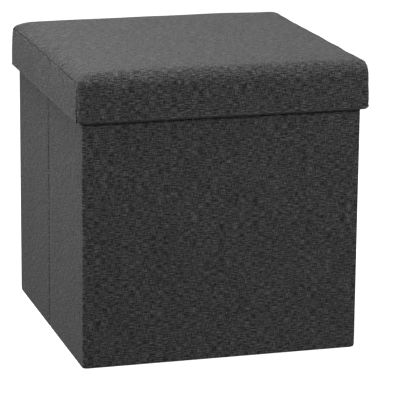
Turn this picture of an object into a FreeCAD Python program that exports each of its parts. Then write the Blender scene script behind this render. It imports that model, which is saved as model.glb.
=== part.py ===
"""Folding storage ottoman: a fabric cube with a padded lift-off lid and walls that fold flat.

Frame: +Z up, origin on the floor under the middle of the lid, front towards -Y. Millimetres.
The front wall stays put. The side walls crease inwards at their middles and the back wall
comes forwards with them. The base board is hinged to the front wall and tips up first.
"""

import FreeCAD
import Part
import os

# --- driving dimensions ---------------------------------------------------------------------
LID_SIZE = 380.0          # outside of the square lid
HEIGHT = 380.0            # floor to the top of the seat
LID_OVERHANG = 8.0        # lid past the walls, each side
RIM_BOTTOM = 318.0        # lower edge of the lid's skirt

COVER = 1.0               # woven outer fabric
LINING = 1.0              # bonded lining inside the walls
WALL_BOARD = 5.0          # stiffener in each wall
TURN_OVER = 15.0          # outer fabric turned over the top of each wall
HEM = 5.8                 # soft folded hem under each wall board

LID_BOARD = 5.0           # board under the seat foam
LID_FOAM = 20.0           # seat foam
LID_LINING = 0.8          # lining inside the lid
RIM_BOARD = 4.0           # stiffener in the lid's skirt
RIM_RETURN = 16.0         # outer fabric turned up inside the skirt
FRONT_ROUND = 18.0        # seat edge, front and back
SIDE_ROUND = 12.0         # seat edge, left and right
CORNER_ROUND = 5.0        # upright corners of the lid
SEAM_INSET = 5.0          # end panels' seams from the lid's upright corners
SEAM_DROP = 11.0          # end panels' seams below the seat top

BASE_BOARD = 3.4          # stiffener in the base
BASE_LINING = 0.8         # lining on both faces of the base
BASE_FRONT_GAP = 2.0      # base hinge from the front wall's inner face
BASE_LENGTH = 346.0       # hinge line to the base's rear edge
BASE_SIDE_GAP = 2.0       # base to the hems beside it
BASE_NOSE = 0.5           # hinge line to the base's front edge

CREASE_OFFSET = 0.4       # crease lines outside the outer faces
CREASE_HALF = 2.0         # wall ends stand back from a crease by this much
SPINE_END_GAP = 0.3       # spine ends short of the crease line
FOLD_CLEARANCE = 0.6      # air between folded walls
TOP_CLEARANCE = 0.3       # wall tops below the lid's lining

STRAP_WIDTH = 20.0        # pull tab webbing
STRAP_THICK = 0.6
STRAP_LOOP = 1.6          # outer height of the flattened loop
STRAP_REACH = 45.0
STRAP_FROM_REAR = 18.0
HINGE_STRIP = 0.5         # lining strip that hinges the base
HINGE_STRIP_UP = 20.0
HINGE_STRIP_ALONG = 22.0
HINGE_STRIP_INSET = 10.0  # strip ends short of the base's sides
CORNER_LINING = 0.8

# --- derived sizes --------------------------------------------------------------------------
WALL = COVER + WALL_BOARD + LINING
BODY_HALF = LID_SIZE / 2 - LID_OVERHANG
INNER_HALF = BODY_HALF - WALL
BASE_THICK = BASE_BOARD + 2 * BASE_LINING
LID_BOARD_TOP = HEIGHT - COVER - LID_FOAM
LID_BOARD_BOTTOM = LID_BOARD_TOP - LID_BOARD
WALL_TOP = LID_BOARD_BOTTOM - LID_LINING - TOP_CLEARANCE

# The front spine spans a folded half wall and the tipped-up base; the rear one a half wall.
FRONT_SPINE = WALL + CREASE_OFFSET + BASE_THICK + BASE_FRONT_GAP + FOLD_CLEARANCE
REAR_SPINE = WALL + CREASE_OFFSET + FOLD_CLEARANCE
FRONT_CREASE_Y = -INNER_HALF + FRONT_SPINE
REAR_CREASE_Y = INNER_HALF - REAR_SPINE
MID_CREASE_Y = (FRONT_CREASE_Y + REAR_CREASE_Y) / 2


def block(x, y, z):
    """Box between the lower and upper limits of x, y and z."""
    return Part.makeBox(x[1] - x[0], y[1] - y[0], z[1] - z[0], FreeCAD.Vector(x[0], y[0], z[0]))


def mirrored(x, side):
    """Limits of x on the right-hand side, carried to the side asked for (-1 left, 1 right)."""
    return x if side > 0 else (-x[1], -x[0])


def save(name, shape):
    if not shape.isValid() or shape.Volume <= 0:
        raise ValueError(f"{name} is not a sound solid")
    shape.exportStep(os.path.join("parts", name + ".step"))


def swap(point, across_x):
    """Wall coordinates (along, through) as (x, y): along is Y on a side wall, X on the others."""
    return (point[1], point[0]) if across_x else point


def wall_sheets(name, along, outer, inner, across_x):
    """Board, cover, lining and hem of one wall panel.

    along: its limits along the wall. outer, inner: where its outer and inner faces lie.
    across_x: True for a side wall, whose thickness runs along X.
    """
    inward = 1 if inner > outer else -1

    def layer(start, end, ends_in, z):
        """Part of the panel between two depths from the outer face."""
        through = sorted((outer + inward * start, outer + inward * end))
        span = (along[0] + ends_in, along[1] - ends_in)
        x, y = swap((span, tuple(through)), across_x)
        return block(x, y, z)

    slab = layer(0, WALL, 0, (HEM, WALL_TOP))
    board = layer(COVER, COVER + WALL_BOARD, COVER, (HEM + COVER, WALL_TOP - COVER))
    lining = layer(WALL - LINING, WALL, COVER, (HEM + COVER, WALL_TOP - TURN_OVER))
    save(name + "_board", board)
    save(name + "_lining", lining)
    save(name + "_cover", slab.cut(board).cut(lining))
    save(name + "_hem", layer(0, WALL, 0, (0, HEM)))


def walls():
    wall_sheets("front", (-BODY_HALF, BODY_HALF), -BODY_HALF, -INNER_HALF, False)
    wall_sheets("back", (-BODY_HALF, BODY_HALF), BODY_HALF, INNER_HALF, False)
    for side_name, side in (("left", -1), ("right", 1)):
        front_half = (FRONT_CREASE_Y + CREASE_HALF, MID_CREASE_Y - CREASE_HALF)
        rear_half = (MID_CREASE_Y + CREASE_HALF, REAR_CREASE_Y - CREASE_HALF)
        outer, inner = side * BODY_HALF, side * INNER_HALF
        wall_sheets(side_name + "_front", front_half, outer, inner, True)
        wall_sheets(side_name + "_rear", rear_half, outer, inner, True)


def fabric_links():
    """The outer fabric between panels: spines at the corners and creases beside them."""
    skin = (BODY_HALF - COVER, BODY_HALF)
    full = (0, WALL_TOP)
    front_end = FRONT_CREASE_Y - SPINE_END_GAP
    rear_end = REAR_CREASE_Y + SPINE_END_GAP
    strips = {
        "front_{}_spine": (-INNER_HALF, front_end),
        "front_{}_crease": (front_end, FRONT_CREASE_Y + CREASE_HALF),
        "{}_mid_crease": (MID_CREASE_Y - CREASE_HALF, MID_CREASE_Y + CREASE_HALF),
        "back_{}_crease": (REAR_CREASE_Y - CREASE_HALF, rear_end),
        "back_{}_spine": (rear_end, INNER_HALF),
    }
    inner_skin = (INNER_HALF, INNER_HALF + CORNER_LINING)
    corners = {
        "front_{}_corner_lining": (-INNER_HALF, FRONT_CREASE_Y + CREASE_HALF),
        "back_{}_corner_lining": (REAR_CREASE_Y - CREASE_HALF, INNER_HALF),
    }
    for side_name, side in (("left", -1), ("right", 1)):
        for name, y in strips.items():
            save(name.format(side_name), block(mirrored(skin, side), y, full))
        for name, y in corners.items():
            save(name.format(side_name), block(mirrored(inner_skin, side), y, (HEM, WALL_TOP)))


def base():
    """The base panel, its lining hinge and its pull tab."""
    hinge_y = -INNER_HALF + BASE_FRONT_GAP
    half_width = INNER_HALF - BASE_SIDE_GAP
    x = (-half_width, half_width)
    y = (hinge_y + BASE_NOSE, hinge_y + BASE_LENGTH)
    board_top = BASE_LINING + BASE_BOARD
    save("base_bottom_lining", block(x, y, (0, BASE_LINING)))
    save("base_board", block(x, y, (BASE_LINING, board_top)))
    save("base_top_lining", block(x, y, (board_top, BASE_THICK)))

    strip_x = (-half_width + HINGE_STRIP_INSET, half_width - HINGE_STRIP_INSET)
    upright = block(
        strip_x,
        (-INNER_HALF, -INNER_HALF + HINGE_STRIP),
        (BASE_THICK, BASE_THICK + HINGE_STRIP_UP),
    )
    flat = block(
        strip_x,
        (-INNER_HALF, -INNER_HALF + HINGE_STRIP_ALONG),
        (BASE_THICK, BASE_THICK + HINGE_STRIP),
    )
    save("base_hinge_strip", upright.fuse(flat).removeSplitter())
    save("base_pull_tab", pull_tab(y[1] - STRAP_FROM_REAR))


def pull_tab(rear):
    """A flattened loop of webbing lying on the base."""
    outer = loop_form(rear, BASE_THICK, STRAP_REACH, STRAP_LOOP)
    inner = loop_form(
        rear - STRAP_THICK,
        BASE_THICK + STRAP_THICK,
        STRAP_REACH - 2 * STRAP_THICK,
        STRAP_LOOP - 2 * STRAP_THICK,
    )
    return outer.cut(inner)


def loop_form(rear, bottom, length, height):
    """Bar along Y with round ends, as wide as the webbing."""
    radius = height / 2
    middle = bottom + radius
    half = STRAP_WIDTH / 2
    bar = block((-half, half), (rear - length + radius, rear - radius), (bottom, bottom + height))
    for end in (rear - length + radius, rear - radius):
        start = FreeCAD.Vector(-half, end, middle)
        round_end = Part.makeCylinder(radius, STRAP_WIDTH, start, FreeCAD.Vector(1, 0, 0))
        bar = bar.fuse(round_end)
    return bar.removeSplitter()


def lid_form(inset):
    """The lid's outer form, or that form taken in evenly on every side but the bottom's cut."""
    half = LID_SIZE / 2 - inset
    span, z = (-half, half), (RIM_BOTTOM + inset, HEIGHT - inset)
    along_x = block(span, span, z)
    along_y = along_x.copy()
    upright = along_x.copy()

    def is_top_edge(edge, axis):
        box = edge.BoundBox
        size = box.XLength if axis == "x" else box.YLength
        return size > half and box.ZMin > z[1] - 1

    along_x = along_x.makeFillet(
        FRONT_ROUND - inset, [e for e in along_x.Edges if is_top_edge(e, "x")]
    )
    along_y = along_y.makeFillet(
        SIDE_ROUND - inset, [e for e in along_y.Edges if is_top_edge(e, "y")]
    )
    upright = upright.makeFillet(
        CORNER_ROUND - inset, [e for e in upright.Edges if e.BoundBox.ZLength > 1]
    )
    return along_x.common(along_y).common(upright)


def lid():
    """Seat board, foam, skirt stiffeners, the sewn cover in three pieces, and the lining."""
    outside = lid_form(0)
    core = lid_form(COVER)
    rim_outer = LID_SIZE / 2 - COVER
    rim_inner = rim_outer - RIM_BOARD
    lining_inner = rim_inner - LID_LINING
    inside = (-rim_inner, rim_inner)
    opening = (-lining_inner, lining_inner)
    rim_z = (RIM_BOTTOM + COVER, LID_BOARD_TOP)
    return_top = RIM_BOTTOM + COVER + RIM_RETURN

    save("lid_board", block(inside, inside, (LID_BOARD_BOTTOM, LID_BOARD_TOP)))
    above_board = block(
        (-rim_outer, rim_outer), (-rim_outer, rim_outer), (LID_BOARD_TOP, HEIGHT)
    )
    save("lid_foam", core.common(above_board))
    for name, sign in (("front", -1), ("back", 1)):
        strip = block((-rim_outer, rim_outer), mirrored((rim_inner, rim_outer), sign), rim_z)
        save("lid_rim_" + name, strip.common(core))
    for name, sign in (("left", -1), ("right", 1)):
        save("lid_rim_" + name, block(mirrored((rim_inner, rim_outer), sign), inside, rim_z))

    sheet = block(inside, inside, (LID_BOARD_BOTTOM - LID_LINING, LID_BOARD_BOTTOM))
    sides = block(inside, inside, (return_top, LID_BOARD_BOTTOM))
    sides = sides.cut(block(opening, opening, (return_top, LID_BOARD_BOTTOM)))
    save("lid_lining", sheet.fuse(sides).removeSplitter())

    skin = outside.cut(core).cut(block(inside, inside, (RIM_BOTTOM, RIM_BOTTOM + COVER)))
    turned = block(inside, inside, (RIM_BOTTOM, return_top))
    turned = turned.cut(block(opening, opening, (RIM_BOTTOM, return_top)))
    cover = skin.fuse(turned).removeSplitter()
    seam_y = LID_SIZE / 2 - SEAM_INSET
    panel_x = (rim_inner + COVER, LID_SIZE)
    for name, sign in (("left", -1), ("right", 1)):
        zone = block(
            mirrored(panel_x, sign), (-seam_y, seam_y), (RIM_BOTTOM - 1, HEIGHT - SEAM_DROP)
        )
        save("lid_cover_" + name, cover.common(zone))
        cover = cover.cut(zone)
    save("lid_cover_top", cover)


def main():
    os.makedirs("parts", exist_ok=True)
    walls()
    fabric_links()
    base()
    lid()
    print(
        f"wall top {WALL_TOP:.1f}, creases at y {FRONT_CREASE_Y:.1f}, {MID_CREASE_Y:.1f}, "
        f"{REAR_CREASE_Y:.1f}, inner half {INNER_HALF:.1f}"
    )


main()
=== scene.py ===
"""Looks of a folding storage ottoman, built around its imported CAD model. Metres throughout.

Every panel is upholstered board: a woven cover wrapped over it, a bonded lining inside, and a
soft hem on the floor. Strips of the cover bend at the creases. The lid is a padded seat with a
cover sewn from three pieces. The base is a lined board with a webbing tab.
"""

import math

import bmesh
import bpy
from mathutils import Matrix, Vector, noise


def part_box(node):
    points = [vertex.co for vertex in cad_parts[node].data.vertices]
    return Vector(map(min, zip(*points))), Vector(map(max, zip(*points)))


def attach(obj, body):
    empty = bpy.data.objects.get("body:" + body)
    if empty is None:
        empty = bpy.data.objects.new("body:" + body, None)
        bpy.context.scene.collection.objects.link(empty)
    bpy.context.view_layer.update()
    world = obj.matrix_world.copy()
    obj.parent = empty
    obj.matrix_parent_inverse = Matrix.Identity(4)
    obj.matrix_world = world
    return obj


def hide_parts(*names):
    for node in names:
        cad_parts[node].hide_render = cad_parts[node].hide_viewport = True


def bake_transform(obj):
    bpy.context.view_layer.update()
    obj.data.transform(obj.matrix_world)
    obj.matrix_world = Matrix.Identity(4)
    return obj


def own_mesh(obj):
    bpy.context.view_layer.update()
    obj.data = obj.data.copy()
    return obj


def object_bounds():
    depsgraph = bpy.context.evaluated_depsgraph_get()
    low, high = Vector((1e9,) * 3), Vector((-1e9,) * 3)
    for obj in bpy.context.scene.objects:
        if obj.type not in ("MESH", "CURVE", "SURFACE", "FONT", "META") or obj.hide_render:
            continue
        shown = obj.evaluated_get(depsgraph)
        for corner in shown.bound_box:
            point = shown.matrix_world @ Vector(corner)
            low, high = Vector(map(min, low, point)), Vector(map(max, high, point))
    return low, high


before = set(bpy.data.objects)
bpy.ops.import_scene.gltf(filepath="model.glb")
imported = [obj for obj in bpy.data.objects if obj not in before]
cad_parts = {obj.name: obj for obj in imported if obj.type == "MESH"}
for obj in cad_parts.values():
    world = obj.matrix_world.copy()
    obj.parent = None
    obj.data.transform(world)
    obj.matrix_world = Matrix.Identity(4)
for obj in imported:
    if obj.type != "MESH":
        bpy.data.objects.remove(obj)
cad_low, cad_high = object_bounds()

# --- sizes read from the CAD nodes ----------------------------------------------------------
MM = 0.001
BODY_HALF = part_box("front_cover")[1][0]
INNER_HALF = -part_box("front_cover")[1][1]
WALL = BODY_HALF - INNER_HALF
WALL_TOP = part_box("front_cover")[1][2]
HEM_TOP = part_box("front_cover")[0][2]
LINING_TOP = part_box("front_lining")[1][2]
LID_HALF = cad_high[0]
SEAT_TOP = cad_high[2]
SKIRT_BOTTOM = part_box("lid_cover_top")[0][2]
SKIRT_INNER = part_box("lid_lining")[1][0]
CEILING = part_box("lid_board")[0][2] - 0.75 * MM
BASE_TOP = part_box("base_top_lining")[1][2]
FRONT_CREASE = (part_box("front_left_crease")[0][1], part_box("front_left_crease")[1][1])
MID_CREASE = (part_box("left_mid_crease")[0][1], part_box("left_mid_crease")[1][1])
MIDDLE = sum(MID_CREASE) / 2
REAR_CREASE = (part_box("back_left_crease")[0][1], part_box("back_left_crease")[1][1])

# --- sizes of the soft shapes ---------------------------------------------------------------
FABRIC = 0.9 * MM            # thickness of the woven cover
STRIP = 1.0 * MM             # thickness of the cover's strips between the panels
LINING = 1.0 * MM            # thickness of the lining on the panels
CORNER_LINING = 0.8 * MM     # thickness of the lining across the corners
CORNER_RADIUS = 2.0 * MM     # upright corners of the box
TOP_RADIUS = 2.0 * MM        # cover rolled over the wall tops
HEM_DEPTH = 0.9 * MM         # the hem tucks in by this much at the floor
HEM_HEIGHT = 5.6 * MM
CORNER_SPREAD = 2.3          # its corners grow rounder by this factor towards the floor
CREASE_RADIUS = 1.6 * MM     # wall ends at the middle creases
CREASE_LAP = 0.9 * MM        # the middle crease's strip reaches under the panels' rounded ends
CREASE_SUNK = 0.8 * MM       # and lies this far behind their faces
PANEL_GRID = 12 * MM         # spacing of the mesh on the panels
CREASE_GAPE = (0.298, 0.02, 1.1)   # a crease opens above this height, over this rise, by this factor
INNER_RADIUS = 1.5 * MM
ARC_STEPS = 4                # quads round each small radius
WAVE = 0.12 * MM             # unevenness of the fabric on the boards
EDGE_ROUND = 18 * MM         # seat edge, front and back
SEAT_CROWN = 3.4 * MM        # middle of the seat above its edges
LEFT_ROLL = (26 * MM, 8.5 * MM, 7.0 * MM)   # seat rolls off to an end seam: width, depth front and rear
RIGHT_ROLL = (17 * MM, 4.2 * MM, 7.5 * MM)
SKIRT_ROLL = (4.0 * MM, 3.0 * MM)  # skirt turns in to the upright seams: width, depth
RETURN = SKIRT_INNER - FABRIC      # inner face of the cover turned up inside the skirt
SKIRT_EDGE = (LID_HALF - RETURN) / 2    # radius of the skirt's lower edge
SKIRT_BULGE = 1.6 * MM
SEAT_STEPS = 110             # rows of the seat cover from its front edge to the middle
SKIRT_STEPS = 22             # rows up the skirt
ROUND_STEPS = 12             # rows round the seat's edge
HEM_STEPS = 8                # rows round the skirt's lower edge
TURN_STEPS = 4               # rows on the part turned up inside
ROLL_STEPS = 9               # columns where the cover rolls off to a seam
ACROSS_STEPS = 34            # columns between them
SKIRT_LIP = 0.9 * MM         # turned-up edge of the skirt stands out a little
RETURN_TOP = SKIRT_BOTTOM + 17 * MM
SEAM_DEPTH = 2.4 * MM        # the seams lie in a groove
SEAM_HALF = 1.1 * MM
CORNER_LIFT = 0.6 * MM       # the skirt's lower corners are rounded up by this much
PUCKER = (6.5 * MM, 0.75 * MM)     # gathers along the seams: pitch, height
STITCH = (2.6 * MM, 4.2 * MM)      # stitch length and pitch
BASE_EASE = 1.9 * MM         # the base cover fills most of the gap beside the walls
LINING_SHEET = 0.5 * MM      # thickness of the lining inside the lid
BASE_STITCH_INSET = 7 * MM   # stitches from the base's edge
STITCH_SINK = 0.15 * MM      # stitches are drawn into the fabric by this much


# --- mesh tools -----------------------------------------------------------------------------
def wavy(point, size, amount):
    """Smooth unevenness at a point, between -amount and amount."""
    return noise.noise(point / size) * amount


def mix(a, b, share):
    return a + (b - a) * share


def smooth(share):
    share = min(max(share, 0), 1)
    return share * share * (3 - 2 * share)


def add_object(name, data):
    thing = bpy.data.objects.new(name, data)
    bpy.context.scene.collection.objects.link(thing)
    return thing


def new_piece(name, points, faces, cloth, material):
    """A mesh object whose points carry the cloth's own coordinates, in metres."""
    mesh = bpy.data.meshes.new(name)
    mesh.from_pydata([tuple(p) for p in points], [], faces)
    layer = mesh.attributes.new("cloth", "FLOAT_VECTOR", "POINT")
    layer.data.foreach_set("vector", [c for uv in cloth for c in (uv[0], uv[1], 0.0)])
    work = bmesh.new()
    work.from_mesh(mesh)
    bmesh.ops.remove_doubles(work, verts=work.verts, dist=0.00001)
    bmesh.ops.dissolve_degenerate(work, dist=0.000001, edges=work.edges)
    bmesh.ops.recalc_face_normals(work, faces=work.faces)
    work.to_mesh(mesh)
    work.free()
    mesh.validate()
    mesh.materials.append(material)
    piece = add_object(name, mesh)
    shade(piece)
    return piece


def shade(piece, angle=math.radians(38)):
    for face in piece.data.polygons:
        face.use_smooth = True
    piece.data.set_sharp_from_angle(angle=angle)


def thicken(piece, thickness):
    """Gives a sheet its thickness, on the side away from its normals."""
    solid = piece.modifiers.new("thickness", "SOLIDIFY")
    solid.thickness = thickness
    solid.offset = -1
    bpy.context.view_layer.update()
    evaluated = piece.evaluated_get(bpy.context.evaluated_depsgraph_get())
    mesh = bpy.data.meshes.new_from_object(evaluated)
    piece.modifiers.clear()
    piece.data = mesh
    shade(piece)
    return piece


def finish_piece(piece, body, slot, *nodes):
    if body:
        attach(piece, body)
    if nodes:
        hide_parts(*nodes)
    return piece


def strip_faces(rows, columns, wrap=False, skip=None):
    """Quads of a grid stored row by row. wrap closes each row; skip(row, column) leaves one out."""
    faces = []
    for r in range(rows - 1):
        for c in range(columns if wrap else columns - 1):
            if skip and skip(r, c):
                continue
            n = (c + 1) % columns
            faces.append((r * columns + c, r * columns + n, (r + 1) * columns + n, (r + 1) * columns + c))
    return faces


# --- upholstered panels ---------------------------------------------------------------------
def side_chain(ends, face, middle, radii, inset, steps):
    """Points (along, through) from one end of a panel to the other, by one of its faces."""
    inward = 1 if middle > face else -1
    level = face + inward * min(inset, abs(middle - face))
    arcs = []
    for end, radius, way in ((ends[0] + inset, radii[0], 1), (ends[1] - inset, radii[1], -1)):
        r = max(radius - inset, 0)
        arc = []
        for k in range(ARC_STEPS + 1):
            turn = math.pi / 2 * k / ARC_STEPS
            arc.append((end + way * r * (1 - math.sin(turn)), level + inward * r * (1 - math.cos(turn))))
        arcs.append(arc)
    first, last = arcs[0][::-1], arcs[1]
    start, stop = first[-1][0], last[0][0]
    between = [(start + (stop - start) * k / steps, level) for k in range(1, steps)]
    return [(ends[0] + inset, middle)] + first + between + last + [(ends[1] - inset, middle)]


def levels(z, tucked=False, top_radius=0.0, also=()):
    """Heights from the bottom to the top of a panel, each with how far its outline is inset."""
    found = []
    for k in range(ARC_STEPS + 1):
        turn = math.pi / 2 * k / ARC_STEPS
        if tucked:
            found.append((z[0] + HEM_HEIGHT * (1 - math.sin(turn)), HEM_DEPTH * (1 - math.cos(turn))))
        if top_radius:
            found.append((z[1] - top_radius * (1 - math.sin(turn)), top_radius * (1 - math.cos(turn))))
    low, high = z[0] + HEM_HEIGHT * tucked, z[1] - top_radius
    steps = max(1, round((high - low) / PANEL_GRID))
    found += [(low + (high - low) * k / steps, 0) for k in range(steps + 1)]
    found += [(level, 0) for level in also]
    tidy = []
    for level in sorted(found):
        if not tidy or level[0] - tidy[-1][0] > 0.00002:
            tidy.append(level)
    return tidy


def panel(name, place, ends, thickness, z, material, outer_radii=(0, 0), inner_radii=(0, 0),
          tucked=False, top_radius=0.0, open_below=None, gape=False, wave=WAVE):
    """A soft slab. place(along, through, z) puts it in the frame; through is 0 on its outer face.

    open_below: the inner face is left out up to this height, and so is the underside, which
    makes a cover that wraps over a board. It is then given the fabric's thickness.
    """
    steps = max(2, round((ends[1] - ends[0]) / PANEL_GRID))
    rows = levels(z, tucked, top_radius, also=() if open_below is None else (open_below,))
    points, cloth = [], []
    for height, inset in rows:
        spread = 1 + CORNER_SPREAD * inset / HEM_DEPTH * tucked
        spread += CREASE_GAPE[2] * smooth((height - CREASE_GAPE[0]) / CREASE_GAPE[1]) * gape
        radii = [radius * spread for radius in outer_radii]
        middle = (thickness + max(radii) - max(inner_radii)) / 2
        outer = side_chain(ends, 0, middle, radii, inset, steps)
        inner = side_chain(ends, thickness, middle, inner_radii, min(inset, 1 * MM), steps)
        ring = outer + inner[::-1][1:-1]
        run = 0.0
        for k, (along, through) in enumerate(ring):
            if k:
                run += math.hypot(along - ring[k - 1][0], through - ring[k - 1][1])
            spot = place(along, through, height)
            side = max(-1, min(1, 2 - 4 * through / thickness))
            lift = wavy(spot, 0.035, wave) + wavy(spot, 0.11, wave)
            to_edge = min(z[1] - height, along - ends[0], ends[1] - along)
            depth = -side * (lift - wave) * max(0, min(1, to_edge / 0.01))
            points.append(place(along, through + depth, height))
            cloth.append((run, height + inset))
    count = len(outer)
    size = len(ring)
    hollow = range(count - 1 + ARC_STEPS + 1, size - ARC_STEPS - 1)

    def left_out(row, column):
        return open_below is not None and rows[row + 1][0] <= open_below + 1e-6 and column in hollow

    faces = strip_faces(len(rows), size, wrap=True, skip=left_out)
    for row in (0, len(rows) - 1):
        if row == 0 and open_below is not None:
            continue
        at = row * size
        partner = [0] + [size - k for k in range(1, count - 1)] + [count - 1]
        for k in range(count - 1):
            faces.append((at + k, at + k + 1, at + partner[k + 1], at + partner[k]))
    faces = [tuple(dict.fromkeys(f)) for f in faces]
    faces = [f for f in faces if len(f) > 2]
    piece = new_piece(name, points, faces, cloth, material)
    if open_below is not None:
        thicken(piece, FABRIC)
    return piece


def on_side(side):
    """Places a side wall's (along, through, z): side is -1 for left, 1 for right."""
    return lambda along, through, z: Vector((side * (BODY_HALF - through), along, z))


def on_end(end):
    """Places the front (-1) or back (1) wall's (along, through, z)."""
    return lambda along, through, z: Vector((along, end * (BODY_HALF - through), z))


def list_walls():
    """Each wall panel: name, how it is placed, its ends, and the radii of its outer and inner corners."""
    width = (-BODY_HALF, BODY_HALF)
    walls = [("front", on_end(-1), width, (CORNER_RADIUS,) * 2, (0, 0)),
             ("back", on_end(1), width, (CORNER_RADIUS,) * 2, (0, 0))]
    inner = (INNER_RADIUS,) * 2
    for name, side in (("left", -1), ("right", 1)):
        place = on_side(side)
        walls.append((name + "_front", place, (FRONT_CREASE[1], MID_CREASE[0]), (0, CREASE_RADIUS), inner))
        walls.append((name + "_rear", place, (MID_CREASE[1], REAR_CREASE[0]), (CREASE_RADIUS, 0), inner))
    return walls


def build_walls(linen, lining, thread):
    for name, place, ends, outer_radii, inner_radii in list_walls():
        body = name + "_wall"
        cover = panel(name + "_wall_fabric", place, ends, WALL, (HEM_TOP, WALL_TOP), linen,
                      outer_radii, inner_radii, top_radius=TOP_RADIUS, open_below=LINING_TOP,
                      gape=name not in ("front", "back"))
        finish_piece(cover, body, "outer_fabric", name + "_cover")

        hem_ends = [MIDDLE if abs(end - MIDDLE) < WALL else end for end in ends]
        hem = panel(name + "_wall_hem", place, hem_ends, WALL, (0, HEM_TOP), linen,
                    outer_radii, inner_radii, tucked=True, wave=0)
        finish_piece(hem, body, "outer_fabric", name + "_hem")
        if name != "front":
            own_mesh(hem)

        sheet_ends = (ends[0] + 1 * MM, ends[1] - 1 * MM)
        sheet = panel(name + "_wall_lining", lambda a, t, z, put=place: put(a, t + WALL - LINING, z),
                      sheet_ends, LINING, (HEM_TOP + 1 * MM, LINING_TOP), lining, wave=0)
        finish_piece(sheet, body, "lining", name + "_lining")

        seam = [place(a, WALL - STITCH_SINK, LINING_TOP + 3 * MM) for a in sheet_ends]
        add_stitches(name + "_wall_stitches", [seam], place(0, 1, 0) - place(0, 0, 0), thread, body)


# --- stitches -------------------------------------------------------------------------------
def points_along(line, distances):
    """Points at the given distances along a polyline, which rise in order."""
    found, run, at = [], 0.0, 0
    for distance in distances:
        while at < len(line) - 2 and run + (line[at + 1] - line[at]).length < distance:
            run += (line[at + 1] - line[at]).length
            at += 1
        step = line[at + 1] - line[at]
        found.append(line[at] + step * min(1, (distance - run) / step.length))
    return found


def add_stitches(name, lines, normal, material, body, radius=0.38 * MM):
    """Rows of short thread stitches, lying on a surface with the given outward normal."""
    points, faces, cloth = [], [], []
    up = Vector(normal).normalized()
    length, pitch = STITCH
    for line in lines:
        total = sum((b - a).length for a, b in zip(line, line[1:]))
        count = max(1, round(total / pitch))
        for k in range(count):
            middle = total * (k + 0.5) / count
            start, stop = points_along(line, (middle - length / 2, middle + length / 2))
            along = (stop - start).normalized()
            across = along.cross(up).normalized()
            above = across.cross(along)
            at = len(points)
            for share, size in ((0, 0.3), (0.25, 0.9), (0.75, 0.9), (1, 0.3)):
                for turn in range(6):
                    angle = math.pi / 3 * turn
                    offset = (across * math.cos(angle) + above * math.sin(angle)) * radius * size
                    points.append(start + (stop - start) * share + offset)
                    cloth.append((k * pitch, angle * 0.0003))
            faces += [tuple(i + at for i in f) for f in strip_faces(4, 6, wrap=True)]
            faces.append(tuple(at + i for i in range(6)))
            faces.append(tuple(at + 18 + i for i in range(6)))
    piece = new_piece(name, points, faces, cloth, material)
    return finish_piece(piece, body, None)


# --- the fabric between the panels ----------------------------------------------------------
def strip(name, side, y, depth, thickness, z, material, columns):
    """An upright strip of cloth along a side wall, fine enough to bend."""
    points, cloth = [], []
    rows = levels(z, tucked=z[0] < HEM_TOP)
    for height, inset in rows:
        ring = [(y[0] + (y[1] - y[0]) * k / columns, depth) for k in range(columns + 1)]
        ring += [(along, depth + thickness) for along, _ in reversed(ring)]
        for along, through in ring:
            points.append(Vector((side * (BODY_HALF - through - inset), along, height)))
            cloth.append((along, height))
    size = 2 * (columns + 1)
    faces = strip_faces(len(rows), size, wrap=True)
    for at in (0, (len(rows) - 1) * size):
        for k in range(columns):
            faces.append((at + k, at + k + 1, at + size - 2 - k, at + size - 1 - k))
    return new_piece(name, points, faces, cloth, material)


def draw_in(piece, body):
    """Attaches a strip to its wall and gives it a mesh of its own."""
    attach(piece, body)
    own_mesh(piece)


def build_corner(end, side_name, side, linen, lining):
    """The strips at one corner: spine, crease, small hem on the floor and lining across it."""
    front = end == "front"
    wall = end + "_wall"
    name = f"{end}_{side_name}"
    root = -INNER_HALF if front else INNER_HALF
    crease_y = FRONT_CREASE if front else REAR_CREASE
    spine_y = (root, crease_y[0]) if front else (crease_y[1], root)
    whole_y = (root, crease_y[1]) if front else (crease_y[0], root)
    open_pivot = (end, side_name) == ("back", "right")
    full = (0, WALL_TOP - 0.5 * MM)

    spine = strip(name + "_corner_fabric", side, spine_y, 0, STRIP, full, linen, 2)
    finish_piece(spine, wall, "outer_fabric", name + "_spine")

    hem = strip(name + "_corner_hem", side, whole_y, WALL - 1.2 * MM, STRIP, (0, HEM_TOP), linen, 4)
    finish_piece(hem, None, "outer_fabric")
    draw_in(hem, wall)

    crease = strip(name + "_crease_fabric", side, crease_y, 0, STRIP, full, linen, 8)
    finish_piece(crease, None, "outer_fabric", name + "_crease")
    if open_pivot:
        draw_in(crease, wall)
    else:
        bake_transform(crease)

    inside = (HEM_TOP + 0.2 * MM, WALL_TOP - 1.5 * MM)
    depth = WALL - CORNER_LINING
    corner = strip(name + "_inner_corner", side, whole_y, depth, CORNER_LINING, inside, lining, 12)
    finish_piece(corner, None, "lining", name + "_corner_lining")
    if open_pivot:
        draw_in(corner, wall)
    else:
        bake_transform(corner)


def build_mid_crease(side_name, side, linen, thread):
    span = (MID_CREASE[0] - CREASE_LAP, MID_CREASE[1] + CREASE_LAP)
    height = (HEM_TOP - 0.2 * MM, WALL_TOP - 0.5 * MM)
    crease = strip(side_name + "_mid_crease_fabric", side, span, CREASE_SUNK, STRIP, height, linen, 14)
    finish_piece(crease, None, "outer_fabric", side_name + "_mid_crease")
    x = side * (BODY_HALF - CREASE_SUNK + 0.1 * MM)
    line = [Vector((x, MIDDLE, z)) for z in (HEM_TOP, WALL_TOP - 4 * MM)]
    # Stitches in the near-black thread: real stitching, with its dark colour as painted shade along the
    # crease.
    stitches = add_stitches(side_name + "_mid_crease_stitches", [line], (side, 0, 0), thread, None)
    for piece in (crease, stitches):
        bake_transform(piece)


def build_links(linen, lining, thread):
    for side_name, side in (("left", -1), ("right", 1)):
        build_mid_crease(side_name, side, linen, thread)
        for end in ("front", "back"):
            build_corner(end, side_name, side, linen, lining)


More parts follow.
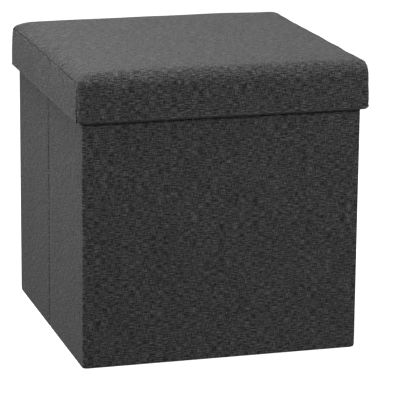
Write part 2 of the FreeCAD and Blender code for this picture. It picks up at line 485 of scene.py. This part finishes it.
# --- the lid --------------------------------------------------------------------------------
def lid_profile():
    """Half of the cover's line, from inside the front skirt round its lower edge to mid-seat.

    Each row holds y, z, the outward normal's y and z, and how far it is seat and inner side.
    """
    line = []
    inner = -RETURN
    outer = -LID_HALF
    edge_z = SKIRT_BOTTOM + SKIRT_EDGE
    edge_y = outer + SKIRT_EDGE
    for k in range(TURN_STEPS):
        line.append((inner, mix(RETURN_TOP, edge_z, k / TURN_STEPS), 1.0, 0.0, 0, 1))
    for k in range(HEM_STEPS + 1):
        share = k / HEM_STEPS
        y, z = math.cos(math.pi * share), -math.sin(math.pi * share)
        line.append((edge_y + SKIRT_EDGE * y, edge_z + SKIRT_EDGE * z, y, z, 0, 1 - share))
    start, high = outer + EDGE_ROUND, SEAT_TOP - EDGE_ROUND
    for k in range(1, SKIRT_STEPS + 1):
        line.append((outer, mix(edge_z, high, k / SKIRT_STEPS), -1.0, 0.0, 0, 0))
    for k in range(1, ROUND_STEPS + 1):
        share = k / ROUND_STEPS
        y, z = -math.cos(math.pi / 2 * share), math.sin(math.pi / 2 * share)
        line.append((start + EDGE_ROUND * y, high + EDGE_ROUND * z, y, z, smooth(share), 0))
    for k in range(1, SEAT_STEPS + 1):
        line.append((mix(start, 0, k / SEAT_STEPS), SEAT_TOP, 0.0, 1.0, 1, 0))
    return line


def whole_profile():
    """The profile carried on down the back."""
    half = lid_profile()
    return half + [(-y, z, -ny, nz, seat, inside) for y, z, ny, nz, seat, inside in half[-2::-1]]


def bulge(z):
    """How far the skirt stands out at a height: most below its middle, and again at its edge."""
    share = (z - SKIRT_BOTTOM) / (SEAT_TOP - SKIRT_BOTTOM)
    belly = math.sin(math.pi * min(max(share, 0), 1)) ** 0.6 * (1.2 - 0.9 * share)
    lip = math.exp(-(((z - SKIRT_BOTTOM - SKIRT_EDGE) / (1.7 * MM)) ** 2))
    return SKIRT_BULGE * belly + SKIRT_LIP * lip


def pucker(run, reach, key):
    """Gathers beside a seam: run is the way along it, reach the distance from it."""
    phase = run / PUCKER[0] + 1.3 * noise.noise(Vector((run / 0.02, key, 0)))
    strength = 0.55 + 0.9 * noise.noise(Vector((run / 0.035, key + 5, 0)))
    return PUCKER[1] * strength * math.sin(2 * math.pi * phase) * math.exp(-reach / (6 * MM))


def crown(x, y):
    """Height of the seat's swell: it rises soon after the edges and is nearly flat in the middle."""
    return SEAT_CROWN * (1 - (y / LID_HALF) ** 6) * (1 - (x / LID_HALF) ** 4)


def lid_point(row, x, inset, reach, run):
    """A point of the cover, reach being how far it is from the ends' seams."""
    y, z, ny, nz, seat, inside = row
    spot = Vector((x, y, z))
    lift = -inset
    lift += bulge(z) * (1 - seat) * (1 - inside)
    lift += crown(x, y) * seat
    soft = smooth(reach / 0.03) * (1 - inside)
    lift += soft * (wavy(spot, 0.09, 0.7 * MM) * seat + wavy(spot, 0.05, 0.25 * MM))
    lift += pucker(run, reach, 1 if x > 0 else 2) * (1 - inside)
    lift += math.exp(-reach / 0.035) * wavy(Vector((y, x, z)), 0.03, 0.9 * MM) * seat
    return Vector((x, y + ny * lift, z + nz * lift + corner_lift(z, reach)))


def corner_lift(z, reach):
    """How far the skirt's lower edge rises beside an upright seam."""
    low = math.exp(-max(0, z - SKIRT_BOTTOM) / (5 * MM))
    return CORNER_LIFT * low * math.exp(-((reach / (3 * MM)) ** 2))


def cover_columns():
    """Across the cover from seam to seam: side, kind, and how far along the arc or the flat."""
    arc = [math.pi / 2 * k / ROLL_STEPS for k in range(1, ROLL_STEPS + 1)]
    left = [(-1, "seam", 0)] + [(-1, "arc", turn) for turn in arc[::-1]]
    flat = [(0, "flat", 2 * k / ACROSS_STEPS - 1) for k in range(ACROSS_STEPS + 1)]
    right = [(1, "arc", turn) for turn in arc] + [(1, "seam", 0)]
    return left + flat + right


def roll_depth(roll, y):
    """How far the seat falls at an end seam, at a distance from the front."""
    return mix(roll[1], roll[2], smooth((y + LID_HALF) / (2 * LID_HALF)))


def column_place(row, column):
    """x, inset and distance from the seam of a column on one row of the cover."""
    side, kind, share = column
    seat, inside = row[4], row[5]
    left, right = (mix(mix(SKIRT_ROLL[0], roll[0], seat), 1 * MM, inside) for roll in (LEFT_ROLL, RIGHT_ROLL))
    roll, width = (LEFT_ROLL, left) if side < 0 else (RIGHT_ROLL, right)
    depth = mix(mix(SKIRT_ROLL[1], roll_depth(roll, row[0]), seat), 0.1 * MM, inside)
    limit = mix(LID_HALF - 0.5 * MM, RETURN, inside)
    if kind == "seam":
        return side * (limit - SEAM_DEPTH), depth + SEAM_HALF, 0
    if kind == "arc":
        x = limit - width + width * math.sin(share)
        return side * x, depth * (1 - math.cos(share)), limit - x
    x = mix(left - limit, limit - right, (share + 1) / 2)
    return x, 0, limit - abs(x)


def build_lid_cover(linen, thread):
    rows = whole_profile()
    columns = cover_columns()
    points, cloth, run = [], [], 0.0
    for r, row in enumerate(rows):
        if r:
            run += math.hypot(row[0] - rows[r - 1][0], row[1] - rows[r - 1][1])
        for column in columns:
            x, inset, reach = column_place(row, column)
            points.append(lid_point(row, x, inset, reach, run))
            cloth.append((x, run))
    faces = strip_faces(len(rows), len(columns))
    cover = new_piece("lid_seat_cover", points, faces, cloth, linen)
    orient(cover, Vector((0, 0, SEAT_TOP)), Vector((0, 0, 1)))
    thicken(cover, FABRIC)
    finish_piece(cover, "lid", "outer_fabric", "lid_cover_top")

    outside = [r for r, row in enumerate(rows) if row[5] == 0]
    for side_name, side, column in (("left", -1, 0), ("right", 1, len(columns) - 1)):
        seam = [points[r * len(columns) + column] for r in outside]
        build_end_panel(side_name, side, seam, linen)
        seam_line = [p + Vector((side * (SEAM_DEPTH - 1.3 * MM), 0, 0)) for p in seam[::2]]
        # Thick stitches in the near-black thread: real stitching, with its dark colour as painted shade along
        # the seam groove.
        add_stitches(f"lid_{side_name}_seam", [seam_line], (side, 0, 0), thread, "lid", 0.85 * MM)


def orient(piece, near, outward):
    """Turns a sheet's normals so that they point outward near a place."""
    faces = piece.data.polygons
    nearest = min(faces, key=lambda f: (f.center - near).length)
    if nearest.normal.dot(outward) < 0:
        piece.data.flip_normals()


def build_end_panel(side_name, side, seam, linen):
    """The panel inside a seam line that runs up, over and down; it ends turned up inside."""
    edge_z = SKIRT_BOTTOM + SKIRT_EDGE
    columns = len(seam)
    lengths = [0.0]
    for a, b in zip(seam, seam[1:]):
        lengths.append(lengths[-1] + (b - a).length)
    spans = [mix(-1, 1, length / lengths[-1]) for length in lengths]
    low_half = LID_HALF - 3.2 * MM
    points, cloth = [], []
    shares = [0, 0.02, 0.035, 0.06, 0.12, 0.22, 0.34, 0.46, 0.58, 0.70, 0.82, 0.92, 1.0]
    dips = [SEAM_DEPTH, 0.8 * MM, 0.15 * MM]    # how far the rows nearest the seam lie in its groove
    for number, share in enumerate(shares):
        for top, span, length in zip(seam, spans, lengths):
            y = mix(top.y, span * low_half, share)
            z = mix(top.z, edge_z, share)
            dip = dips[number] if number < len(dips) else 0
            spot = Vector((side * LID_HALF, y, z))
            soft = smooth(share * 8)
            out = (bulge(z) + wavy(spot, 0.05, 0.25 * MM)) * soft - dip
            out += pucker(length, share * 0.06, side) * smooth(share * 40)
            if number == 0:
                points.append(top.copy())
            else:
                points.append(Vector((side * (LID_HALF + out), y, z + corner_lift(z, low_half - abs(y)))))
            cloth.append((y, z))
    for k in range(1, HEM_STEPS + TURN_STEPS + 1):
        share = min(1, k / HEM_STEPS)
        rise = (RETURN_TOP - edge_z) * max(0, k - HEM_STEPS) / TURN_STEPS
        across = LID_HALF - SKIRT_EDGE + SKIRT_EDGE * math.cos(math.pi * share)
        z = edge_z - SKIRT_EDGE * math.sin(math.pi * share) + rise
        half = mix(low_half, RETURN, share)
        for span in spans:
            lift = corner_lift(z, half - abs(span * half)) * (1 - share)
            points.append(Vector((side * across, span * half, z + lift)))
            cloth.append((span * half, z - 4 * MM * k))
    faces = strip_faces(len(points) // columns, columns)
    piece = new_piece(f"lid_{side_name}_cover", points, faces, cloth, linen)
    orient(piece, Vector((side * LID_HALF, 0, (SEAT_TOP + SKIRT_BOTTOM) / 2)), Vector((side, 0, 0)))
    thicken(piece, FABRIC)
    finish_piece(piece, "lid", "outer_fabric", f"lid_cover_{side_name}")


def rounded_box(name, low, high, radius, counts, material, lift):
    """A closed box with rounded edges and a grid on every face. lift moves each of its points."""
    points, index, faces = [], {}, []

    def spread(axis, k):
        """Grid positions, crowded near the edges where the rounding is."""
        n = counts[axis]
        near = [0, 0.15, 0.4, 0.7, 1.0]
        size = high[axis] - low[axis]
        reach = min(radius[axis], size / 2) / size
        if n <= 10:
            return low[axis] + size * k / n
        if k < 5:
            return low[axis] + size * reach * near[k]
        if k > n - 5:
            return high[axis] - size * reach * near[n - k]
        return low[axis] + size * mix(reach, 1 - reach, (k - 4) / (n - 8))

    def vertex(key):
        if key not in index:
            p = Vector([spread(axis, key[axis]) for axis in range(3)])
            core = Vector([min(max(p[i], low[i] + radius[i]), high[i] - radius[i]) for i in range(3)])
            off = Vector([(p[i] - core[i]) / radius[i] for i in range(3)])
            if off.length > 1e-9:
                off = off.normalized() * max(abs(c) for c in off)
                p = core + Vector([off[i] * radius[i] for i in range(3)])
            index[key] = len(points)
            points.append(lift(p))
        return index[key]

    nx, ny, nz = counts
    for (u, v), fixed, last in (((0, 1), 2, nz), ((0, 2), 1, ny), ((1, 2), 0, nx)):
        for level in (0, last):
            for a in range(counts[u]):
                for b in range(counts[v]):
                    face = []
                    for da, db in ((0, 0), (1, 0), (1, 1), (0, 1)):
                        key = [0, 0, 0]
                        key[u], key[v], key[fixed] = a + da, b + db, level
                        face.append(vertex(tuple(key)))
                    faces.append(face)
    cloth = [(p.x + p.z, p.y + p.z) for p in points]
    return new_piece(name, points, faces, cloth, material)


def build_lid_inside(foam, lining):
    low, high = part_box("lid_foam")

    def crowned(p):
        share = (p.z - low[2]) / (high[2] - low[2])
        roll = LEFT_ROLL if p.x < 0 else RIGHT_ROLL
        reach = min(max(0, (abs(p.x) - (LID_HALF - roll[0])) / roll[0]), 1)
        drop = roll_depth(roll, p.y) * (1 - math.sqrt(1 - reach ** 2))
        return Vector((p.x, p.y, p.z + share * (crown(p.x, p.y) - drop - 1.2 * MM)))

    inset = Vector((2 * MM, 2 * MM, 0))
    pad = rounded_box("lid_foam_pad", Vector(low) + inset, Vector(high) - inset,
                      (10 * MM, 14 * MM, 9 * MM), (40, 40, 12), foam, crowned)
    finish_piece(pad, "lid", "foam", "lid_foam")

    bottom = RETURN_TOP - 1 * MM
    reach = SKIRT_INNER - LINING_SHEET - 0.1 * MM
    cove = 3 * MM
    points, cloth = [], []
    rows = [(reach, mix(bottom, CEILING - cove, k / 4)) for k in range(5)]
    for k in range(1, 5):
        turn = math.pi / 2 * k / 4
        rows.append((reach - cove * (1 - math.cos(turn)), CEILING - cove * (1 - math.sin(turn))))
    steps = 24
    for half, z in rows:
        for corner in range(4):
            for k in range(steps):
                t = mix(-half, half, k / steps)
                x, y = ((t, -half), (half, t), (-t, half), (-half, -t))[corner]
                points.append(Vector((x, y, z)))
                cloth.append((x + y, z))
    faces = strip_faces(len(rows), 4 * steps, wrap=True)
    at = len(points)
    half = rows[-1][0]
    for i in range(steps + 1):
        for j in range(steps + 1):
            x, y = mix(-half, half, i / steps), mix(-half, half, j / steps)
            inner = 0 < i < steps and 0 < j < steps
            lift = (0.1 * MM + wavy(Vector((x, y, 0)), 0.03, 0.08 * MM)) * inner
            points.append(Vector((x, y, CEILING + lift)))
            cloth.append((x, y))
    faces += [tuple(at + k for k in face) for face in strip_faces(steps + 1, steps + 1)]
    sheet = new_piece("lid_inner_lining", points, faces, cloth, lining)
    orient(sheet, Vector((0, 0, CEILING)), Vector((0, 0, -1)))
    thicken(sheet, LINING_SHEET)
    finish_piece(sheet, "lid", "lining", "lid_lining")


# --- the base -------------------------------------------------------------------------------
def build_base(lining, webbing, thread):
    low = Vector(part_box("base_bottom_lining")[0]) - Vector((BASE_EASE, BASE_EASE, 0))
    high = Vector(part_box("base_top_lining")[1]) + Vector((BASE_EASE, BASE_EASE, 0))

    def quilted(p):
        """Draws the upper side in along the row of stitches near its edge."""
        border = min(p.x - low[0], high[0] - p.x, p.y - low[1], high[1] - p.y)
        top = smooth((p.z - low[2]) / (high[2] - low[2]) * 2 - 1)
        sink = 0.35 * MM * math.exp(-((border - BASE_STITCH_INSET) / (2.0 * MM)) ** 2)
        return Vector((p.x, p.y, p.z - top * (sink + 0.1 * MM + wavy(p, 0.04, 0.1 * MM))))

    radius = (2.0 * MM, 2.0 * MM, 2.2 * MM)
    cover = rounded_box("base_cover", low, high, radius, (64, 64, 10), lining, quilted)
    finish_piece(cover, "base", "lining", "base_top_lining", "base_bottom_lining")

    z = BASE_TOP - 0.35 * MM
    x0, x1 = low[0] + BASE_STITCH_INSET, high[0] - BASE_STITCH_INSET
    y0, y1 = low[1] + BASE_STITCH_INSET, high[1] - BASE_STITCH_INSET
    border = [Vector((x, y, z)) for x, y in ((x0, y0), (x1, y0), (x1, y1), (x0, y1), (x0, y0))]
    add_stitches("base_stitches", [border], (0, 0, 1), thread, "base")
    build_pull_tab(webbing, thread)
    build_hinge_strip(lining)


def build_pull_tab(webbing, thread):
    """A loop of ribbed webbing, lying on the base and sewn down at its inner end."""
    low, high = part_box("base_pull_tab")
    thick = 0.55 * MM
    middle = (low[2] + high[2]) / 2
    radius = (high[2] - low[2]) / 2 - thick / 2
    straight = high[1] - low[1] - 2 * radius
    line = []
    for start, way in ((low[1] + radius, 1), (high[1] - radius, -1)):
        line += [(start + way * straight * k / 24, middle - way * radius, 0, -way) for k in range(25)]
        for k in range(1, 8):
            turn = math.pi * k / 8 - way * math.pi / 2
            y, z = math.cos(turn), math.sin(turn)
            line.append((start + way * straight + radius * y, middle + radius * z, y, z))
    columns = 21
    points, cloth, run = [], [], 0.0
    for k, (y, z, ny, nz) in enumerate(line):
        if k:
            run += math.hypot(y - line[k - 1][0], z - line[k - 1][1])
        ring = []
        for c in range(columns):
            x = mix(low[0], high[0], c / (columns - 1))
            rib = 0.10 * MM * (c % 2) + 0.12 * MM * (0 < c < columns - 1)
            ring.append((x, thick / 2 - 0.2 * MM + rib))
        ring += [(x, -reach) for x, reach in reversed(ring)]
        for x, reach in ring:
            points.append(Vector((x, y + ny * reach, z + nz * reach)))
            cloth.append((x, run))
    size = 2 * columns
    faces = strip_faces(len(line), size, wrap=True)
    last = (len(line) - 1) * size
    faces += [(last + c, last + (c + 1) % size, (c + 1) % size, c) for c in range(size)]
    tab = new_piece("base_tab_webbing", points, faces, cloth, webbing)
    finish_piece(tab, "base", "webbing", "base_pull_tab")

    inset = 2.5 * MM
    x0, x1 = low[0] + inset, high[0] - inset
    y0, y1 = low[1] + inset, low[1] + 17 * MM
    z = high[2] - 0.05 * MM
    box = [Vector((x, y, z)) for x, y in ((x0, y0), (x1, y0), (x1, y1), (x0, y1), (x0, y0))]
    cross = [[box[0], box[2]], [box[1], box[3]]]
    add_stitches("base_tab_stitches", [box] + cross, (0, 0, 1), thread, "base")


def build_hinge_strip(lining):
    """The lining strip that joins the base to the front wall, up one and along the other."""
    low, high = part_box("base_hinge_strip")
    thick = 0.45 * MM
    bend = 2 * MM
    level = low[2] + 0.1 * MM
    path = [(low[1] + thick / 2, mix(high[2], low[2] + bend, k / 8)) for k in range(9)]
    for k in range(1, 6):
        turn = math.pi / 2 * k / 6
        path.append((low[1] + thick / 2 + bend * (1 - math.cos(turn)), level + bend * (1 - math.sin(turn))))
    path += [(mix(low[1] + bend, high[1], k / 14), level) for k in range(15)]
    points, cloth, run = [], [], 0.0
    across = 40
    for k, (y, z) in enumerate(path):
        if k:
            run += math.hypot(y - path[k - 1][0], z - path[k - 1][1])
        for c in range(across + 1):
            x = mix(low[0], high[0], c / across)
            points.append(Vector((x, y, z)))
            cloth.append((x, run))
    sheet = new_piece("base_hinge_fabric", points, strip_faces(len(path), across + 1), cloth, lining)
    orient(sheet, Vector((0, high[1], low[2])), Vector((0, 0, 1)))
    thicken(sheet, thick)
    finish_piece(sheet, None, "lining", "base_hinge_strip")
    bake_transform(sheet)


# --- materials ------------------------------------------------------------------------------
class Nodes:
    """Small helper that adds and links shader nodes."""

    def __init__(self, name):
        self.material = bpy.data.materials.new(name)
        self.material.use_nodes = True
        self.tree = self.material.node_tree
        self.shader = self.tree.nodes["Principled BSDF"]

    def add(self, kind, values=(), **settings):
        node = self.tree.nodes.new(kind)
        for key, value in settings.items():
            setattr(node, key, value)
        for key, value in dict(values).items():
            self.put(node.inputs[key], value)
        return node

    def put(self, socket, value):
        if isinstance(value, bpy.types.NodeSocket):
            self.tree.links.new(value, socket)
        else:
            socket.default_value = value

    def math(self, operation, a, b=0.0):
        node = self.add("ShaderNodeMath", operation=operation)
        self.put(node.inputs[0], a)
        self.put(node.inputs[1], b)
        return node.outputs[0]

    def scaled(self, vector, factors):
        node = self.add("ShaderNodeVectorMath", operation="MULTIPLY")
        self.put(node.inputs[0], vector)
        self.put(node.inputs[1], factors)
        return node.outputs[0]

    def noise(self, vector, scale=1.0, detail=2.0, roughness=0.5):
        node = self.add("ShaderNodeTexNoise", {
            "Vector": vector, "Scale": scale, "Detail": detail, "Roughness": roughness})
        return node.outputs["Fac"]

    def ramp(self, factor, stops):
        node = self.add("ShaderNodeValToRGB")
        self.put(node.inputs[0], factor)
        while len(node.color_ramp.elements) < len(stops):
            node.color_ramp.elements.new(0.5)
        for element, (place, color) in zip(node.color_ramp.elements, stops):
            element.position = place
            element.color = (*color, 1)
        return node.outputs[0]

    def bump(self, height, distance, strength=1.0):
        node = self.add("ShaderNodeBump", {"Height": height, "Distance": distance, "Strength": strength})
        return node.outputs[0]

    def surface(self, **values):
        for key, value in values.items():
            self.put(self.shader.inputs[key.replace("_", " ")], value)
        return self.material


def cloth_coordinates(nodes):
    return nodes.add("ShaderNodeAttribute", attribute_name="cloth").outputs["Vector"]


def make_linen(name="linen_weave"):
    """Charcoal mélange: a plain weave of uneven yarns, some lighter than others."""
    n = Nodes(name)
    cloth = cloth_coordinates(n)
    yarn = 0.75 * MM
    split = n.add("ShaderNodeSeparateXYZ", {"Vector": cloth})
    across = n.math("MULTIPLY", split.outputs[0], math.pi / yarn)
    along = n.math("MULTIPLY", split.outputs[1], math.pi / yarn)
    crossing = n.math("MULTIPLY", n.math("SINE", across), n.math("SINE", along))
    over = n.math("GREATER_THAN", crossing, 0.0)

    warp_slub = (0.75 * MM, 8 * MM)    # thickness and length of the uneven places
    weft_slub = (0.9 * MM, 9 * MM)
    warp = n.noise(n.scaled(cloth, (1 / warp_slub[0], 1 / warp_slub[1], 1)), detail=3.0, roughness=0.6)
    weft = n.noise(n.scaled(cloth, (1 / weft_slub[1], 1 / weft_slub[0], 1)), detail=3.0, roughness=0.6)
    flecks = n.noise(cloth, scale=1 / (1.0 * MM), detail=2.0)
    clouds = n.noise(cloth, scale=1 / (45 * MM), detail=2.0)

    yarns = n.add("ShaderNodeMix", {"Factor": over, "A": warp, "B": weft}).outputs[0]
    both = n.math("ADD", n.math("MULTIPLY", warp, 0.35), n.math("MULTIPLY", weft, 0.65))
    tone = n.math("ADD", n.math("MULTIPLY", yarns, 0.4), n.math("MULTIPLY", both, 1.3))
    tone = n.math("SUBTRACT", tone, 0.35)
    tone = n.math("ADD", tone, n.math("MULTIPLY", n.math("SUBTRACT", flecks, 0.5), 0.4))
    tone = n.math("ADD", tone, n.math("MULTIPLY", n.math("SUBTRACT", clouds, 0.5), 0.06))
    color = n.ramp(tone, (
        (0.38, (0.017, 0.017, 0.017)),
        (0.475, (0.046, 0.046, 0.046)),
        (0.53, (0.067, 0.067, 0.067)),
        (0.63, (0.170, 0.170, 0.170)),
    ))
    height = n.math("ADD", n.math("MULTIPLY", crossing, 0.35), n.math("MULTIPLY", tone, 1.3))
    return n.surface(
        Base_Color=color,
        Roughness=0.92,
        Specular_IOR_Level=0.2,
        Sheen_Weight=0.12,
        Sheen_Roughness=0.5,
        Normal=n.bump(height, 0.4 * MM, 0.4),
    )


def make_lining(name="bonded_lining"):
    """Black bonded fabric with small pressed dots in a diamond grid."""
    n = Nodes(name)
    cloth = cloth_coordinates(n)
    pitch = 2.4 * MM
    split = n.add("ShaderNodeSeparateXYZ", {"Vector": cloth})
    a = n.math("MULTIPLY", n.math("ADD", split.outputs[0], split.outputs[1]), math.pi / pitch)
    b = n.math("MULTIPLY", n.math("SUBTRACT", split.outputs[0], split.outputs[1]), math.pi / pitch)
    dots = n.math("MULTIPLY", n.math("SINE", a), n.math("SINE", b))
    dots = n.math("POWER", n.math("ABSOLUTE", dots), 4.0)
    fibres = n.noise(cloth, scale=1 / (0.9 * MM), detail=4.0, roughness=0.7)
    color = n.ramp(n.math("ADD", n.math("MULTIPLY", fibres, 0.9), n.math("MULTIPLY", dots, -0.12)), (
        (0.25, (0.008, 0.008, 0.009)),
        (0.7, (0.030, 0.030, 0.032)),
    ))
    height = n.math("SUBTRACT", n.math("MULTIPLY", fibres, 0.5), dots)
    return n.surface(Base_Color=color, Roughness=0.8, Sheen_Weight=0.1,
                     Normal=n.bump(height, 0.15 * MM, 0.7))


def make_webbing(name="ribbed_webbing"):
    n = Nodes(name)
    cloth = cloth_coordinates(n)
    split = n.add("ShaderNodeSeparateXYZ", {"Vector": cloth})
    picks = n.math("SINE", n.math("MULTIPLY", split.outputs[1], 2 * math.pi / (1.1 * MM)))
    fuzz = n.noise(cloth, scale=1 / (0.6 * MM), detail=3.0)
    color = n.ramp(n.math("ADD", fuzz, n.math("MULTIPLY", picks, 0.1)), (
        (0.3, (0.014, 0.014, 0.015)),
        (0.7, (0.050, 0.050, 0.053)),
    ))
    return n.surface(Base_Color=color, Roughness=0.75, Sheen_Weight=0.2,
                     Normal=n.bump(n.math("ADD", picks, fuzz), 0.12 * MM, 0.8))


def make_thread(name, dark, light):
    n = Nodes(name)
    spot = n.add("ShaderNodeTexCoord").outputs["Object"]
    ply = n.noise(spot, scale=1 / (0.35 * MM), detail=2.0)
    color = n.ramp(ply, ((0.3, (dark,) * 3), (0.7, (light,) * 3)))
    return n.surface(Base_Color=color, Roughness=0.6, Sheen_Weight=0.15,
                     Normal=n.bump(ply, 0.1 * MM, 0.6))


def make_board(name, dark, light, grain):
    """Pressed fibre or card: fine specks over slow changes of tone."""
    n = Nodes(name)
    spot = n.add("ShaderNodeTexCoord").outputs["Object"]
    specks = n.noise(spot, scale=1 / grain, detail=5.0, roughness=0.7)
    clouds = n.noise(spot, scale=1 / 0.05, detail=2.0)
    tone = n.math("ADD", n.math("MULTIPLY", specks, 0.7), n.math("MULTIPLY", clouds, 0.3))
    color = n.ramp(tone, ((0.35, dark), (0.65, light)))
    return n.surface(Base_Color=color, Roughness=0.85, Normal=n.bump(specks, 0.1 * MM, 0.5))


def make_foam(name="open_cell_foam"):
    n = Nodes(name)
    spot = n.add("ShaderNodeTexCoord").outputs["Object"]
    cells = n.add("ShaderNodeTexVoronoi", {"Vector": spot, "Scale": 1 / (1.2 * MM)})
    pores = cells.outputs["Distance"]
    color = n.ramp(pores, ((0.1, (0.55, 0.52, 0.42)), (0.6, (0.84, 0.81, 0.70))))
    return n.surface(Base_Color=color, Roughness=0.95, Normal=n.bump(pores, 0.3 * MM, 0.6))


def dress_cad_nodes(fibreboard, greyboard):
    """The stiff pieces inside the fabric keep their CAD shapes and get their own finish."""
    for node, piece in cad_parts.items():
        if piece.hide_render:
            continue
        card = node == "base_board" or node.startswith("lid_rim")
        piece.data.materials.clear()
        piece.data.materials.append(greyboard if card else fibreboard)


# --- stage, lights and camera ---------------------------------------------------------------
def add_stage(name, mesh):
    """A stage piece that the camera sees, but that throws no light or shade on the object."""
    stage = add_object(name, mesh)
    stage.visible_diffuse = False
    stage.visible_glossy = False
    stage.visible_transmission = False
    stage.visible_shadow = False


def build_floor():
    mesh = bpy.data.meshes.new("floor")
    reach = 30.0
    below = -0.2 * MM
    corners = ((-reach, -reach), (reach, -reach), (reach, reach), (-reach, reach))
    mesh.from_pydata([(x, y, below) for x, y in corners], [], [(0, 1, 2, 3)])
    n = Nodes("pale_floor")
    glow = n.add("ShaderNodeEmission", {"Color": (1, 1, 1, 1), "Strength": 0.8})
    matte = n.add("ShaderNodeBsdfDiffuse", {"Color": (0.8, 0.8, 0.8, 1)})
    both = n.add("ShaderNodeAddShader")
    n.tree.links.new(glow.outputs[0], both.inputs[0])
    n.tree.links.new(matte.outputs[0], both.inputs[1])
    n.tree.links.new(both.outputs[0], n.tree.nodes["Material Output"].inputs[0])
    mesh.materials.append(n.material)
    add_stage("floor", mesh)


def build_backdrop():
    """A white dome behind everything."""
    mesh = bpy.data.meshes.new("backdrop")
    work = bmesh.new()
    bmesh.ops.create_uvsphere(work, u_segments=32, v_segments=16, radius=29)
    work.to_mesh(mesh)
    work.free()
    n = Nodes("white_backdrop")
    glow = n.add("ShaderNodeEmission", {"Color": (1, 1, 1, 1), "Strength": 1.0})
    n.tree.links.new(glow.outputs[0], n.tree.nodes["Material Output"].inputs[0])
    mesh.materials.append(n.material)
    add_stage("backdrop", mesh)


def build_world():
    world = bpy.data.worlds.new("studio")
    bpy.context.scene.world = world
    world.use_nodes = True
    tree = world.node_tree
    ambient = tree.nodes["Background"]
    ambient.inputs["Color"].default_value = (1, 1, 1, 1)
    ambient.inputs["Strength"].default_value = 0.16


def add_light(name, place, target, size, power):
    light = bpy.data.lights.new(name, "AREA")
    light.shape = "RECTANGLE"
    light.size, light.size_y = size
    light.energy = power
    holder = add_object(name, light)
    holder.visible_camera = False
    holder.location = place
    holder.rotation_euler = (Vector(target) - Vector(place)).to_track_quat("-Z", "Y").to_euler()


def build_lights():
    middle = (0, 0, 0.2)
    add_light("overhead", (-0.3, 0.5, 2.6), middle, (1.8, 1.8), 35)
    add_light("left_window", (-1.0, -0.1, 0.8), middle, (0.5, 0.6), 8.4)
    add_light("front_fill", (1.1, -1.9, 1.35), middle, (0.6, 0.6), 21.5)


def build_camera():
    turn, tilt, roll = math.radians(16.616), math.radians(14.781), math.radians(0.599)
    level = Vector((math.sin(turn), math.cos(turn), 0))
    right = Vector((math.cos(turn), -math.sin(turn), 0))
    forward = level * math.cos(tilt) - Vector((0, 0, 1)) * math.sin(tilt)
    up = Vector((0, 0, 1)) * math.cos(tilt) + level * math.sin(tilt)
    tilted_right = right * math.cos(roll) + up * math.sin(roll)
    tilted_up = up * math.cos(roll) - right * math.sin(roll)
    data = bpy.data.cameras.new("camera")
    data.sensor_width = 36
    data.lens = 214.2
    camera = add_object("camera", data)
    axes = Matrix((tilted_right, tilted_up, -forward)).transposed().to_4x4()
    camera.matrix_world = Matrix.Translation((-0.8822, -3.0744, 0.9967)) @ axes
    bpy.context.scene.camera = camera


# --- build ----------------------------------------------------------------------------------
build_camera()
build_world()
build_lights()
build_floor()
build_backdrop()
bpy.context.scene.view_settings.view_transform = "Standard"

linen = make_linen()
lining = make_lining()
webbing = make_webbing()
thread = make_thread("sewing_thread", 0.05, 0.11)
# Near-black thread: the stitches are real, but their dark colour is painted shade for the seam grooves at the
# lid's ends and along the middle creases.
seam_shade_thread = make_thread("painted_seam_shade_thread", 0.006, 0.016)
build_walls(linen, lining, thread)
build_links(linen, lining, seam_shade_thread)
build_lid_cover(linen, seam_shade_thread)
build_lid_inside(make_foam(), lining)
build_base(lining, webbing, thread)
dress_cad_nodes(
    make_board("pressed_fibreboard", (0.20, 0.13, 0.07), (0.40, 0.28, 0.17), 0.8 * MM),
    make_board("grey_card", (0.24, 0.22, 0.19), (0.40, 0.37, 0.32), 0.5 * MM),
)
